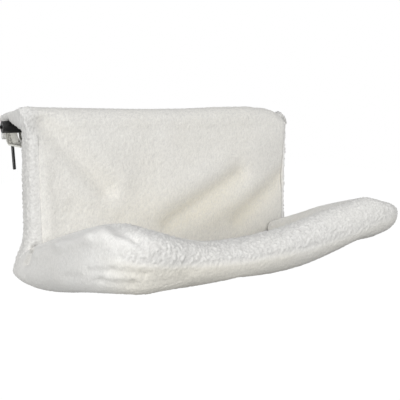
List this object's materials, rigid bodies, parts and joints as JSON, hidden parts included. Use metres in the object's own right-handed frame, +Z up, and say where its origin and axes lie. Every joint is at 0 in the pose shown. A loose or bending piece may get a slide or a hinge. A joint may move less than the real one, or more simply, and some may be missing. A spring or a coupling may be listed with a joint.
{
  "type": "radiator cat hammock",
  "caption": "Plush cat hammock that hangs on a radiator: bent tube frame, padded back and hood, dipped sling seat, and two sliding rod hooks locked by clamp screws.",
  "frame": {"origin": "on the radiator's top, under the middle of the hood", "axes": "+X along the radiator, -Y towards the room, +Z up"},
  "size_m": [0.496, 0.4292, 0.2458],
  "materials": {
    "plush": "short curly pile",
    "lining": "plain weave",
    "closure_strip": "hook and loop tape",
    "black_tube": "satin black powder coat",
    "black_plug": "satin black",
    "black_screw": "black oxide",
    "bright_steel": "zinc plated",
    "nylon": "natural"
  },
  "bodies": {
    "frame": {"back_front_layer": "plush", "back_rear_layer": "lining", "closure_hook_strip": "closure_strip", "closure_loop_strip": "closure_strip", "hood": "plush", "hood_lining": "lining", "joint_nuts": "bright_steel", "joint_screws": "black_screw", "lower_rail": "black_tube", "rail_plug_left": "black_plug", "rail_plug_right": "black_plug", "seat_arm_sleeve_left": "plush", "seat_arm_sleeve_right": "plush", "seat_frame": "black_tube", "seat_front_sleeve": "plush", "seat_sling": "plush", "seat_underside": "plush", "side_strip_left": "plush", "side_strip_right": "plush", "side_tube_left": "black_tube", "side_tube_right": "black_tube", "top_rail": "black_tube"},
    "hook_left": {"hook_left": "black_tube", "hook_stop_left": "bright_steel"},
    "clamp_tip_left": {"clamp_tip_left": "nylon"},
    "clamp_screw_left": {"clamp_screw_left": "black_screw"},
    "hook_right": {"hook_right": "black_tube", "hook_stop_right": "bright_steel"},
    "clamp_tip_right": {"clamp_tip_right": "nylon"},
    "clamp_screw_right": {"clamp_screw_right": "black_screw"}
  },
  "joints": [
    {"name": "hook_slide_left", "type": "slide", "parent": "frame", "child": "hook_left", "axis": [0, 1, 0], "range_m": [-0.045, 0]},
    {"name": "clamp_tip_slide_left", "type": "slide", "parent": "frame", "child": "clamp_tip_left", "axis": [-1, 0, 0], "range_m": [0, 0.0016]},
    {"name": "clamp_turn_left", "type": "hinge", "parent": "clamp_tip_left", "child": "clamp_screw_left", "pos_m": [-0.23, 0.01, 0.028], "axis": [-1, 0, 0], "range_deg": [0, 724]},
    {"name": "hook_slide_right", "type": "slide", "parent": "frame", "child": "hook_right", "axis": [0, 1, 0], "range_m": [-0.045, 0]},
    {"name": "clamp_tip_slide_right", "type": "slide", "parent": "frame", "child": "clamp_tip_right", "axis": [1, 0, 0], "range_m": [0, 0.0016]},
    {"name": "clamp_turn_right", "type": "hinge", "parent": "clamp_tip_right", "child": "clamp_screw_right", "pos_m": [0.23, 0.01, 0.028], "axis": [1, 0, 0], "range_deg": [0, 724]}
  ],
  "couplings": [
    {"joint": "clamp_turn_left", "follows": "clamp_tip_slide_left", "rad_per_m": 7854},
    {"joint": "clamp_turn_right", "follows": "clamp_tip_slide_right", "rad_per_m": 7854}
  ]
}
